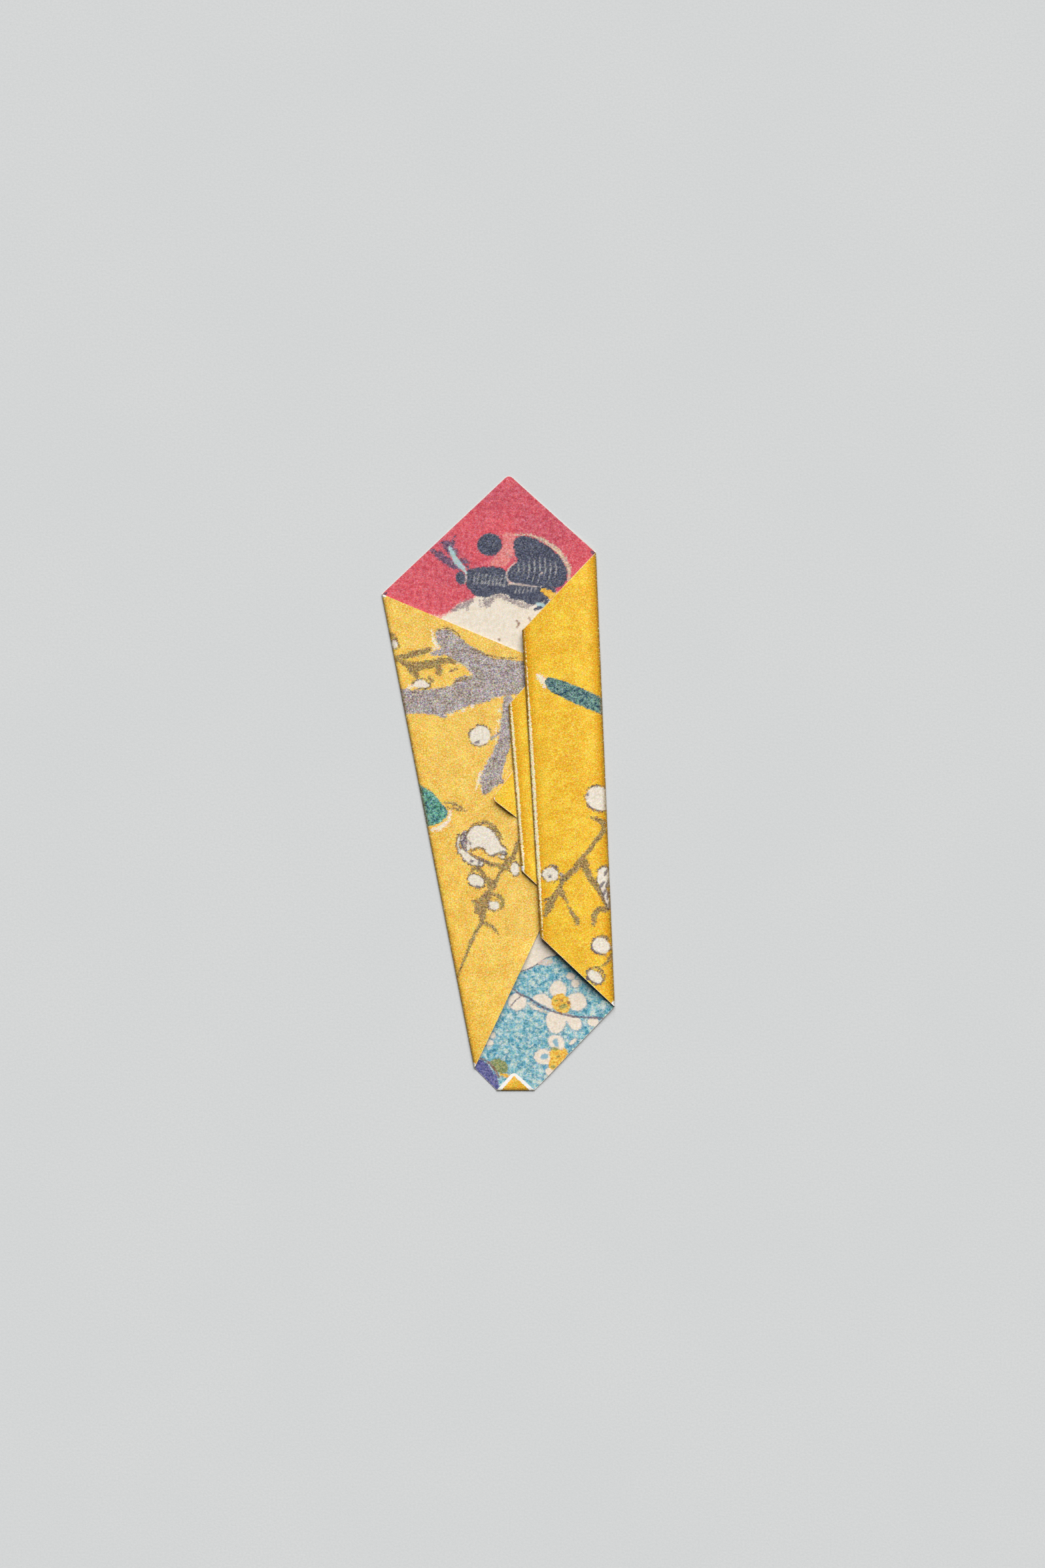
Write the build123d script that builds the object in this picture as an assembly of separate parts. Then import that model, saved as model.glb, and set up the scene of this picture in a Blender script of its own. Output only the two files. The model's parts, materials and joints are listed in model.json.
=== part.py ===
"""Folded paper sleeve: one square sheet of craft paper folded flat into a pointed pocket.

Each flat panel between two creases is one thin plate, and the plates lie on each other in
layers. Units are millimetres. The sleeve lies on its back in the XY plane with its point
towards +Y and +Z up, and the origin is the middle of its underside.
"""
from build123d import *
import os

PAPER = 0.25  # thickness of the paper
AIR = 0.05  # air left between two layers
LAYER = PAPER + AIR

HALF_LENGTH = 101.4
HALF_WIDTH = 38.3

# Corners of the folded sheet, seen from above: (x, y).
POINT = {
    # outline of the back, clockwise from the tip at the top
    "apex": (3.5, HALF_LENGTH),
    "right_shoulder": (32.1, 75.7),
    "right_foot": (HALF_WIDTH, -73.8),
    "base_right": (12.0, -HALF_LENGTH),
    "base_left": (-0.5, -HALF_LENGTH),
    "left_foot": (-7.8, -94.1),
    "left_shoulder": (-HALF_WIDTH, 62.0),
    # sheet corner that is folded up over the base
    "base_tip": (5.1, -95.1),
    # crease where the left flap's own corner is turned under, and that corner
    "turn_top": (17.5, 38.6),
    "turn_bottom": (17.5, -40.5),
    "turned_corner": (-13.6, 25.6),
    # the four creases of the two pleats, from the outermost to the innermost
    "pleat_a_top": (7.9, 50.0),
    "pleat_a_bottom": (13.9, -50.8),
    "pleat_b_top": (17.8, 41.7),
    "pleat_b_bottom": (21.4, -41.8),
    "pleat_c_top": (3.4, 25.5),
    "pleat_c_bottom": (7.7, -29.0),
    "pleat_d_top": (14.3, 16.5),
    "pleat_d_bottom": (15.6, -19.0),
    # sheet corner at the end of the right flap
    "flap_tip": (-2.0, -5.4),
}

# node: (layer above the table, corners in order)
PANELS = {
    "back_panel": (0, ("apex", "right_shoulder", "right_foot", "base_right",
                       "base_left", "left_foot", "left_shoulder")),
    "base_tip": (1, ("base_left", "base_right", "base_tip")),
    "left_flap_return": (1, ("turn_top", "turn_bottom", "turned_corner")),
    "left_flap": (2, ("left_shoulder", "turn_top", "turn_bottom", "left_foot")),
    "pleat_2_tip": (3, ("pleat_d_top", "pleat_d_bottom", "flap_tip")),
    "pleat_2_return": (4, ("pleat_c_top", "pleat_d_top", "pleat_d_bottom", "pleat_c_bottom")),
    "pleat_1_strip": (5, ("pleat_b_top", "pleat_b_bottom", "pleat_c_bottom", "pleat_c_top")),
    "pleat_1_return": (6, ("pleat_a_top", "pleat_b_top", "pleat_b_bottom", "pleat_a_bottom")),
    "right_flap": (7, ("right_shoulder", "right_foot", "pleat_a_bottom", "pleat_a_top")),
}


def panel(layer, corners):
    """Return one flat panel of the sheet as a plate lying in its layer."""
    outline = Polyline(*[POINT[name] for name in corners], close=True)
    plate = extrude(make_face(outline), amount=PAPER, dir=(0, 0, 1))
    return Pos(0, 0, layer * LAYER) * plate


os.makedirs("parts", exist_ok=True)
for node, (layer, corners) in PANELS.items():
    export_step(panel(layer, corners), f"parts/{node}.step")
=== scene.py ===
"""Looks for the folded paper sleeve: nine thin panels of one square sheet, printed on both faces.

Each CAD plate is replaced by a closed paper mesh that rounds over its creases and ends exactly on
the hinge axes, so that neighbouring panels stay joined at every pose. The print is a drawing of
twigs, blossoms and brush shapes. It is laid out on the flat sheet, turned into distances that the
mesh points carry, and inked by the materials. All drawing and sheet sizes are in millimetres.
"""

import json
import math

import bmesh
import bpy
import numpy as np
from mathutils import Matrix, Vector

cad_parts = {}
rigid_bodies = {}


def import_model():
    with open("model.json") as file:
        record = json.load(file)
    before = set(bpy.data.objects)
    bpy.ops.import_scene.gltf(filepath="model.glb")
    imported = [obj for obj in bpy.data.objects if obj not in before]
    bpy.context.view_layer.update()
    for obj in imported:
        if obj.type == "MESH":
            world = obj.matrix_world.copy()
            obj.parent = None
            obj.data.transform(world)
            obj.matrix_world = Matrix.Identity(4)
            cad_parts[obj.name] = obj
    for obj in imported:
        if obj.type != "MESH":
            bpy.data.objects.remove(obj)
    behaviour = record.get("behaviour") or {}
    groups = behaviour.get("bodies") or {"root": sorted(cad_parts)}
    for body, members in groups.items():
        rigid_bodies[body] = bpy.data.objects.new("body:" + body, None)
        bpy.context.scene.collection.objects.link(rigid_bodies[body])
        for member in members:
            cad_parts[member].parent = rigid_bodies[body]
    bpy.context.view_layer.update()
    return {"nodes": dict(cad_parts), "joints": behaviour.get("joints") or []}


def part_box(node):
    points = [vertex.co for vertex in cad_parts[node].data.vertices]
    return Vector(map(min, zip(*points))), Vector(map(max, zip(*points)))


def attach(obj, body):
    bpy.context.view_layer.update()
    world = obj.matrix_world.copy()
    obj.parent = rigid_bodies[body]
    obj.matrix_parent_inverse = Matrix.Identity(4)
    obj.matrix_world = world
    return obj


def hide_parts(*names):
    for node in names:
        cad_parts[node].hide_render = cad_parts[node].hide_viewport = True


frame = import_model()

MM = 0.001
PAPER = 0.2  # thickness of the paper that shows; the CAD plate holds a little air as well
PINCH = 9.0  # how far from a thick fold its two panels start to close on each other
FOLD_RADIUS = 0.9  # how far in from a fold its rounding starts
FOLD_RISE = 0.45  # highest that the rounding itself gets
CORNER = 1.9  # how far along its sides a worn corner is rounded
WEAR_CENTRE = 0.8  # how far from a pleat's fold its white line runs
FAR = 4.0  # distances to ink are cut off here
ROW_STEP = 0.42  # most that two rows of mesh points lie apart
COLUMN_STEP = 0.55  # the same for columns, where the panel is widest
# Rows of points beside an edge, in mm from it: a fold's rounding, then rows for wear along it.
ROUNDING = FOLD_RADIUS * (1 - np.cos(np.radians(np.arange(0, 91, 9))))
EDGE_ROWS = np.concatenate([ROUNDING, [1.15, 1.4, 1.7, 2.1]])
# Most that each panel springs up from the layer below.
SPRING = {
    "right_flap": 0.6, "pleat_1_strip": 1.0, "pleat_2_tip": 1.3, "left_flap": 1.1, "back_panel": 0.45,
}
SAG = 0.2  # how much less the right flap's lower edge springs up
SPRING_REACH = 7.0  # how far in from a cut edge its spring fades out

KEY_STRENGTH = 4.84
KEY_SPREAD = 56  # degrees across, for soft shadows
KEY_DIRECTION = (-0.24, -0.97, -0.9)  # from the upper right, down onto the table
FILL_STRENGTH = 0.04
LIGHT_LEVEL = 1.07  # brightness of a white, flat, fully lit surface in this light
TABLE_HALF = 3.0  # metres
EYE = (8.0 * MM, -0.55 * MM, 1.2195)  # metres
LENS = 85  # focal length, on a film 36 mm wide


# ---------------------------------------------------------------- the folded sheet

class Crease:
    """One fold line of the sheet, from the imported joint."""

    def __init__(self, joint):
        self.parent = joint["parent"]
        self.child = joint["child"]
        self.point = np.array(joint["pos_m"][:2]) / MM
        self.height = joint["pos_m"][2] / MM
        self.along = np.array(joint["axis"][:2]) / np.linalg.norm(joint["axis"][:2])

    def right_of(self, xy):
        """Signed distance of points from the fold line, positive on the right looking up it."""
        offset = xy - self.point
        along = self.along if self.along[1] >= 0 else -self.along
        return offset[:, 0] * along[1] - offset[:, 1] * along[0]

    def distance(self, xy):
        return np.abs(self.right_of(xy))

    def mirrored(self, xy):
        """Points folded over the crease, as seen from above."""
        offset = xy - self.point
        return self.point + 2 * np.outer(offset @ self.along, self.along) - offset


CREASES = {joint["name"]: Crease(joint) for joint in frame["joints"]}
FOLDED_AT = {crease.child: crease for crease in CREASES.values()}


def folds_to(panel):
    """The creases between a panel and the back panel, the panel's own first."""
    found = []
    while panel in FOLDED_AT:
        found.append(FOLDED_AT[panel])
        panel = FOLDED_AT[panel].parent
    return found


def on_sheet(xy, panel):
    """Where points of a folded panel lie on the flat sheet, in the back panel's frame."""
    xy = np.atleast_2d(np.array(xy, float))
    for crease in folds_to(panel):
        xy = crease.mirrored(xy)
    return xy


def plate_corners(node):
    """Corners of a CAD plate seen from above, anticlockwise."""
    seen = {(round(v.co.x / MM, 3), round(v.co.y / MM, 3)) for v in frame["nodes"][node].data.vertices}
    corners = np.array(sorted(seen))
    arms = corners - corners.mean(0)
    return corners[np.argsort(np.arctan2(arms[:, 1], arms[:, 0]))]


def sides_of(corners):
    """Start and end of each side of a closed outline."""
    return list(zip(corners, np.roll(corners, -1, axis=0)))


def crease_on(side, node):
    """The crease that a side of a panel lies on, or None for a cut edge."""
    for crease in CREASES.values():
        if node in (crease.parent, crease.child) and crease.distance(np.array(side)).max() < 0.05:
            return crease
    return None


def worn_outline(node):
    """A panel's outline with the corners between two cut edges slightly rounded."""
    corners = plate_corners(node)
    sides = sides_of(corners)
    cut = [crease_on(side, node) is None for side in sides]
    outline = []
    for i, corner in enumerate(corners):
        if not (cut[i] and cut[i - 1]):
            outline.append(corner)
            continue
        start, end = (
            corner + (other - corner) / np.linalg.norm(other - corner) * CORNER
            for other in (sides[i - 1][0], sides[i][1])
        )
        for t in np.linspace(0, 1, 7):
            outline.append((1 - t) ** 2 * start + 2 * t * (1 - t) * corner + t ** 2 * end)
    return np.array(outline)


def cut_distance(xy, node):
    """Distance of points of a panel from its nearest cut edge."""
    nearest = np.full(len(xy), np.inf)
    for start, end in sides_of(plate_corners(node)):
        if crease_on((start, end), node) is None:
            along = (end - start) / np.linalg.norm(end - start)
            offset = xy - start
            nearest = np.minimum(nearest, np.abs(offset[:, 0] * along[1] - offset[:, 1] * along[0]))
    return nearest


def row_ends(outline, heights):
    """Left and right end of the outline at each height."""
    left = np.full(len(heights), np.inf)
    right = np.full(len(heights), -np.inf)
    for (x0, y0), (x1, y1) in sides_of(outline):
        if abs(y1 - y0) < 1e-6:
            continue
        share = (heights - y0) / (y1 - y0)
        crossed = (share > -1e-6) & (share < 1 + 1e-6)
        x = x0 + share * (x1 - x0)
        left = np.where(crossed, np.minimum(left, x), left)
        right = np.where(crossed, np.maximum(right, x), right)
    return left, right


def sheet_points(node):
    """Rows of points that fill a panel's outline: an array (rows, columns, 2)."""
    outline = worn_outline(node)
    lowest, highest = outline[:, 1].min(), outline[:, 1].max()
    keys = np.unique(np.round(outline[:, 1], 4))
    rows = [keys]
    for low, high in zip(keys[:-1], keys[1:]):
        count = max(1, int(math.ceil((high - low) / ROW_STEP)))
        rows.append(np.linspace(low, high, count + 1))
    near_bottom = lowest + EDGE_ROWS
    rows.append(near_bottom[near_bottom < highest])
    heights = np.unique(np.round(np.concatenate(rows), 4))
    left, right = row_ends(outline, heights)
    width = right - left
    scale = np.minimum(1, width / (2.5 * 2 * EDGE_ROWS[-1]))
    columns = max(2, int(width.max() / COLUMN_STEP))
    inner = np.linspace(0, 1, columns + 2)[1:-1]
    edge = np.outer(scale, EDGE_ROWS)
    start, end = edge[:, -1], width - edge[:, -1]
    middle = start[:, None] + np.outer(end - start, inner)
    across = np.hstack([edge, middle, width[:, None] - edge[:, ::-1]])
    x = left[:, None] + across
    return np.stack([x, np.broadcast_to(heights[:, None], x.shape)], axis=2)


def smooth(t):
    """0 up to t = 0, 1 from t = 1 on, smooth between."""
    t = np.clip(t, 0, 1)
    return t * t * (3 - 2 * t)


def spring_height(xy, node):
    """How far the paper stands over its CAD plate's middle, in mm like x and y."""
    x, y = xy.T
    most = SPRING.get(node, 0.0)
    near_cut = 1 - smooth(cut_distance(xy, node) / SPRING_REACH)
    if node == "right_flap":  # all of it, the lower edge a little less
        return most - SAG * near_cut * smooth((-42 - y) / 12)
    if node == "pleat_1_strip":  # the lower part of what shows left of the right flap
        uncovered = smooth(-CREASES["pleat_a_fold"].right_of(xy) / 3)
        return most * near_cut * (1 - smooth((y + 8) / 14)) * uncovered
    if node == "pleat_2_tip":  # what shows left of the strip
        return most * smooth(-CREASES["pleat_c_fold"].right_of(xy) / 3)
    if node == "left_flap":  # its lower end
        return most * near_cut * smooth((-51 - y) / 8)
    if node == "back_panel":  # its lower right edge
        return most * near_cut * smooth((x - 10) / 8) * smooth((-66 - y) / 9)
    return np.zeros(len(xy))


def paper_height(xy, node):
    """Height of the middle of the paper: level, and rounding into each hinge axis of the panel."""
    low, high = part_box(node)
    level = (low.z + high.z) / 2 / MM + spring_height(xy, node)
    height = level.copy()
    for crease in CREASES.values():
        if node not in (crease.parent, crease.child):
            continue
        away = crease.distance(xy)
        rise = level - crease.height
        round_rise = np.minimum(np.abs(rise), FOLD_RISE)
        turn = 1 - np.clip(away / FOLD_RADIUS, 0, 1)
        rounded = round_rise * np.sqrt(1 - turn ** 2) + (np.abs(rise) - round_rise) * smooth(away / PINCH)
        height += np.sign(rise) * rounded - rise
    return height


def paper_mesh(node):
    """The panel's middle surface as a mesh of quads, facing up."""
    points = sheet_points(node)
    rows, columns = points.shape[:2]
    xy = points.reshape(-1, 2)
    verts = np.column_stack([xy, paper_height(xy, node)]) * MM
    index = np.arange(rows * columns).reshape(rows, columns)
    quads = np.stack([index[:-1, :-1], index[:-1, 1:], index[1:, 1:], index[1:, :-1]], axis=2)
    mesh = bpy.data.meshes.new(f"{node}_paper")
    mesh.from_pydata(verts.tolist(), [], quads.reshape(-1, 4).tolist())
    work = bmesh.new()
    work.from_mesh(mesh)
    bmesh.ops.remove_doubles(work, verts=work.verts, dist=1e-6)
    bmesh.ops.dissolve_degenerate(work, edges=work.edges, dist=1e-7)
    work.to_mesh(mesh)
    work.free()
    return mesh


# ---------------------------------------------------------------- the drawing

class Motif:
    """One inked shape on the flat sheet: a brush stroke, or a closed patch."""

    def __init__(self, points, widths=None):
        self.closed = widths is None
        self.points, self.widths = self.curved(points, widths)

    def curved(self, points, widths, parts=4):
        """Points and widths along a smooth curve through the given ones."""
        points = np.array(points, float)
        count = len(points)
        widths = np.zeros(count) if widths is None else np.broadcast_to(widths, count).astype(float)
        if self.closed:
            points = np.vstack([points, points[:1]])
            widths = np.append(widths, widths[0])
            before, after = points[-2], points[1]
        else:
            before, after = 2 * points[0] - points[1], 2 * points[-1] - points[-2]
        padded = np.vstack([before, points, after])
        t = np.linspace(0, 1, parts, endpoint=False)[:, None]
        curve = []
        for p0, p1, p2, p3 in zip(padded, padded[1:], padded[2:], padded[3:]):
            curve.append(p1 + 0.5 * t * (p2 - p0 + t * (2 * p0 - 5 * p1 + 4 * p2 - p3
                                                       + t * (3 * (p1 - p2) + p3 - p0))))
        steps = np.linspace(0, len(points) - 1, (len(points) - 1) * parts + 1)
        return np.vstack(curve + [points[-1:]]), np.interp(steps, np.arange(len(points)), widths)

    def distance(self, xy):
        """Signed distance to the shape's edge, negative inside."""
        nearest = np.full(len(xy), np.inf)
        inside = np.zeros(len(xy), bool)
        for a, b, wa, wb in zip(self.points, self.points[1:], self.widths, self.widths[1:]):
            span = b - a
            offset = xy - a
            t = np.clip(offset @ span / max(span @ span, 1e-9), 0, 1)
            gap = np.hypot(*(offset - t[:, None] * span).T) - (wa + (wb - wa) * t) / 2
            nearest = np.minimum(nearest, gap)
            if self.closed:
                crossed = (a[1] > xy[:, 1]) != (b[1] > xy[:, 1])
                with np.errstate(divide="ignore", invalid="ignore"):
                    x = a[0] + (xy[:, 1] - a[1]) / (b[1] - a[1]) * span[0]
                inside ^= crossed & (xy[:, 0] < x)
        return np.where(inside, -nearest, nearest)

    def add_to(self, field, xy):
        """Keeps the nearer of the field and this shape, at every point within reach."""
        reach = FAR + self.widths.max() / 2
        low, high = self.points.min(0) - reach, self.points.max(0) + reach
        near = np.all((xy > low) & (xy < high), axis=1)
        if near.any():
            field[near] = np.minimum(field[near], self.distance(xy[near]))


DRAWING = {}  # attribute name -> list of motifs


def stroke(ink, panel, points, widths):
    DRAWING.setdefault(ink, []).append(Motif(on_sheet(points, panel), widths))


def strokes(ink, panel, rows):
    """Brush strokes, each given as its points (x, y, width)."""
    for row in rows:
        stroke(ink, panel, [(x, y) for x, y, _ in row], [width for _, _, width in row])


def patch(ink, panel, points):
    DRAWING.setdefault(ink, []).append(Motif(on_sheet(points, panel)))


def patches(ink, panel, outlines):
    for points in outlines:
        patch(ink, panel, points)


def oval(ink, panel, x, y, across, up=None, turn=0.0):
    """A closed oval with its half widths, turned anticlockwise by some degrees."""
    up = across if up is None else up
    angle = np.radians(np.arange(0, 360, 30))
    shape = np.column_stack([across * np.cos(angle), up * np.sin(angle)])
    c, s = math.cos(math.radians(turn)), math.sin(math.radians(turn))
    patch(ink, panel, shape @ np.array([[c, s], [-s, c]]) + (x, y))


def ovals(ink, panel, rows):
    """Ovals, each given as (x, y, across, up, turn), where the last two may be left out."""
    for row in rows:
        oval(ink, panel, *row)


def draw_left_flap():
    """Violet branch, olive twigs, buds, an open blossom and half a teal leaf."""
    p = "left_flap"
    # violet branch with its two limbs
    patch("out_branch", p, [
        (-44, 23.5), (-37, 22.6), (-31, 22.3), (-25, 22.8), (-20, 21.9), (-15.5, 23), (-12, 24),
        (-10, 25.2), (-6, 25.8), (-3, 26.8), (0, 28.2), (6, 28.7), (16, 30), (16, 40), (8, 39.7),
        (3, 40.5), (-2, 41), (-6, 43.5), (-10, 45.5), (-12, 47.3), (-14.5, 49), (-16, 50.3), (-18.5, 50.6),
        (-21, 49.4), (-20, 46), (-18.8, 44.3), (-20.5, 43.6), (-23, 42.5), (-20.5, 41.7), (-17, 41.8),
        (-14.5, 40.3), (-12, 38.7), (-9.5, 36.5), (-8.7, 35.3), (-11.5, 34.8), (-14.5, 33.8), (-15, 32),
        (-20, 31), (-25, 30.5), (-31, 30.7), (-37, 31), (-44, 31.5),
    ])
    strokes("out_branch", p, [
        [(3.2, 27.5, 3), (2.4, 23, 2.4), (2.3, 18, 3.4), (1.8, 13, 4.4), (0.4, 9, 4.8), (-1.5, 4, 6.4),
         (-2.6, 1.2, 6.6), (-4.2, -2.4, 3)],
        [(-0.4, 3, 3), (1.1, 0, 1.4)],
        [(0.5, 16, 1.6), (-2.2, 14.6, 0.8)],
        [(-19, 22.6, 2), (-17.3, 21.6, 1.2)],
    ])
    # pale specks that the brush left beside it
    strokes("out_halo", p, [
        [(-21.9, 49.8, 0.7), (-21, 46.6, 1.1), (-19.8, 44.6, 1.2), (-21.6, 43.9, 0.6)],
        [(-0.9, 17.6, 0.5), (-0.8, 11.2, 0.8), (-3.6, 5.8, 1), (-6.1, 1.6, 1.1), (-7.3, -2.2, 0.7)],
        [(-11.2, 34.6, 0.8), (-9.4, 34.8, 0.6)],
        [(-29.5, 31.2, 1), (-27.8, 32, 1.4)],
    ])
    for x, y, size in (
        (-15.4, 22.8, 1.2), (-11.7, 23.9, 1.8), (-8.6, 25.3, 1.4), (-4.1, 27, 0.8), (0.4, 28.1, 0.8),
        (3.5, 27.9, 2), (0.4, 23.6, 1), (0.4, 20.2, 1.4), (-13.1, 39.2, 1), (-8.9, 36, 1.2),
    ):
        oval("out_halo", p, x, y, 0.6 * size, 0.4 * size, 25)
    # olive leaf sprig at the top left
    strokes("out_twig", p, [
        [(-33.5, 41.1, 1.2), (-30.7, 41.4, 1.8), (-28.1, 42.3, 2.2), (-25.6, 42.8, 2.2),
         (-22.5, 43.7, 1.4)],
        [(-33.2, 40.3, 1.2), (-30.7, 39.2, 2.2), (-27.3, 38, 3.2), (-23.9, 38.6, 2.8), (-20.5, 39.4, 2.8),
         (-16.5, 40.3, 2), (-14.3, 39.4, 0.8)],
        [(-28.7, 37.2, 2.4), (-27.3, 35.5, 2.6), (-26.7, 34.6, 1.2)],
        [(-19.6, 37.7, 2.4), (-19.4, 36, 2)],
        [(-22.7, 34.4, 1.4), (-21.6, 33.2, 1)],
        [(-16, 36.6, 0.5), (-14.8, 36.8, 0.9), (-13.6, 37.6, 0.5)],
        [(-14, 33.2, 0.8), (-11.4, 34, 1), (-8.8, 34.4, 0.8)],
        [(-19.9, 50.2, 0.6), (-17.1, 50.7, 0.7), (-14.3, 49.6, 0.7), (-12.3, 47.6, 0.5)],
        [(-8.6, 44, 0.5), (-4.1, 42, 0.6), (1.5, 40.9, 0.7), (6, 40.9, 0.6)],
        [(-35.6, 48.8, 1), (-34.6, 48.2, 1.7), (-33.6, 47.4, 0.8)],
    ])
    oval("out_bloom", p, -34.3, 45.4, 1.3, 1.5, 20)
    patch("out_bloom", p, [
        (-28, 32.6), (-26.8, 33.7), (-24.8, 33.8), (-22.8, 32.4), (-22.8, 31.4), (-25, 31), (-27.4, 31.4),
    ])
    # bud beside the hanging twig
    oval("out_bloom", p, -6, 15.3, 3.6, 3.3, 30)
    oval("out_dot", p, -6.9, 13.2, 0.9, 0.6, 20)
    # teal leaf at the left edge with two stems
    patch("out_teal", p, [
        (-30, 2), (-26, -0.6), (-23.4, -2.2), (-21.2, -3.7), (-19, -6.6), (-17.2, -8.4), (-16.6, -10),
        (-17.7, -12), (-19.9, -13.7), (-22.8, -14.4), (-28, -14.4),
    ])
    strokes("out_halo", p, [
        [(-15.8, -9.6, 0.7), (-16.2, -12, 1), (-18, -14.2, 1.3), (-20.6, -15.4, 1.3), (-22.6, -15.6, 0.8)],
    ])
    strokes("out_twig", p, [
        [(-17.7, -6.7, 0.7), (-14.2, -7.1, 1.1), (-10.7, -9.3, 0.6)],
        [(-16.8, -8.2, 0.6), (-13.8, -8.8, 0.9), (-10.5, -9.6, 0.5)],
    ])
    # open blossom with two petals
    patch("out_bloom", p, [
        (-9.8, -16.4), (-8.2, -14.7), (-6, -14.1), (-3.8, -14.8), (-1.5, -16.3), (0.2, -18.8),
        (1.2, -20.8), (2.6, -22.2), (2.2, -23.6), (0, -23.4), (-1.8, -24.2), (-3.6, -23.4), (-4.6, -21.8),
        (-6.6, -21.4), (-8.8, -22), (-9.4, -19.4),
    ])
    strokes("out_bloom", p, [
        [(-12, -22.6, 1.6), (-10.4, -24.6, 2.8), (-8.2, -26, 2.6), (-5.6, -26.8, 1.4)],
        [(-10, -17.4, 1), (-9.6, -19.4, 1.4), (-9.8, -22, 1.4)],
        [(1.6, -24.6, 1.2), (0.2, -24.4, 0.8)],
        [(-12.8, -17.6, 0.8), (-13.2, -20.8, 1), (-12.6, -23, 1)],
    ])
    strokes("out_branch", p, [[(-11, -16.9, 2.2), (-11.1, -19.8, 3.2), (-10.9, -22.6, 2.6)]])
    strokes("out_dot", p, [
        [(-11.4, -16.8, 0.3), (-11, -18.6, 0.7), (-12, -20, 1), (-11.2, -21.6, 0.4)],
        [(-9.8, -19, 0.3), (-9.2, -20.2, 0.8)],
        [(-9.4, -23.2, 0.5), (-7.4, -24.4, 0.6), (-5, -25.4, 0.6), (-2.8, -26.6, 0.6)],
        [(-1.6, -24.1, 0.8), (0.2, -23.3, 0.7), (2.3, -22.8, 0.7), (2.6, -24.1, 0.8)],
    ])
    ovals("out_dot", p, [(-8.7, -26, 0.6, 0.4), (-6.3, -26.5, 0.6, 0.7)])
    strokes("out_twig", p, [
        [(-8.2, -13.9, 0.5), (-5.2, -13.2, 1), (-3, -13.7, 1.2), (-1, -15.4, 1.2), (0.5, -17.2, 1.1),
         (1.5, -19, 0.6)],
    ])
    # olive twig that carries the lower buds, knotted where they sit
    strokes("out_twig", p, [
        [(7, -18.5, 1), (6, -21.2, 1.5), (5.2, -24, 1.6), (3.4, -26, 2), (2, -28, 2.2)],
        [(2.4, -28, 2.4), (0, -27.4, 1.8), (-2.8, -26.9, 1.7), (-5, -25.8, 0.8)],
        [(1.6, -28.6, 1.6), (0.5, -30, 1), (-0.4, -31.8, 1.3), (-1.8, -33.6, 2.8)],
        [(-9.6, -30.2, 0.7), (-8.2, -28.8, 1.2), (-6.8, -28.4, 1.7), (-5.4, -29.8, 1.4),
         (-3.8, -31.8, 1.8), (-2.2, -33.8, 3.2)],
        [(-6.7, -28.2, 0.9), (-6.2, -27, 0.7)],
        [(-2, -34, 3), (-3, -35.8, 1.6), (-4, -38, 3.4)],
        [(-4, -38.4, 3.2), (-5.2, -40.4, 4.4), (-5.6, -42.2, 3.6), (-5.2, -44, 2.4), (-5.2, -45.6, 1.8),
         (-6.4, -47.6, 1.5), (-8, -50.5, 1.3), (-10, -55.5, 1.1), (-12, -60.5, 1), (-13.4, -64, 0.5)],
        [(-8.4, -39.2, 0.8), (-6.2, -38.8, 1.6), (-4, -37.6, 1.6), (-2, -36.9, 1.2), (0, -37.4, 1.1),
         (1.4, -38.8, 1.1), (1.4, -40.8, 0.9), (0, -42.2, 0.5)],
        [(-6.8, -40.2, 1.8), (-7.3, -42.6, 1.4)],
        [(-5.2, -46, 1.4), (-3.4, -46.9, 1.3), (-2, -47.4, 1.2), (-1, -48.8, 0.9), (0.2, -50, 0.4)],
    ])
    ovals("out_bloom", p, [
        (-7.3, -32.4, 2.9, 2, -32), (-1.4, -40.5, 1.9, 1.5, -20), (5.5, -28.5, 1.6, 2.2),
    ])
    oval("out_dot", p, -6.6, -34.3, 1.1, 0.4, -20)


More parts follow.
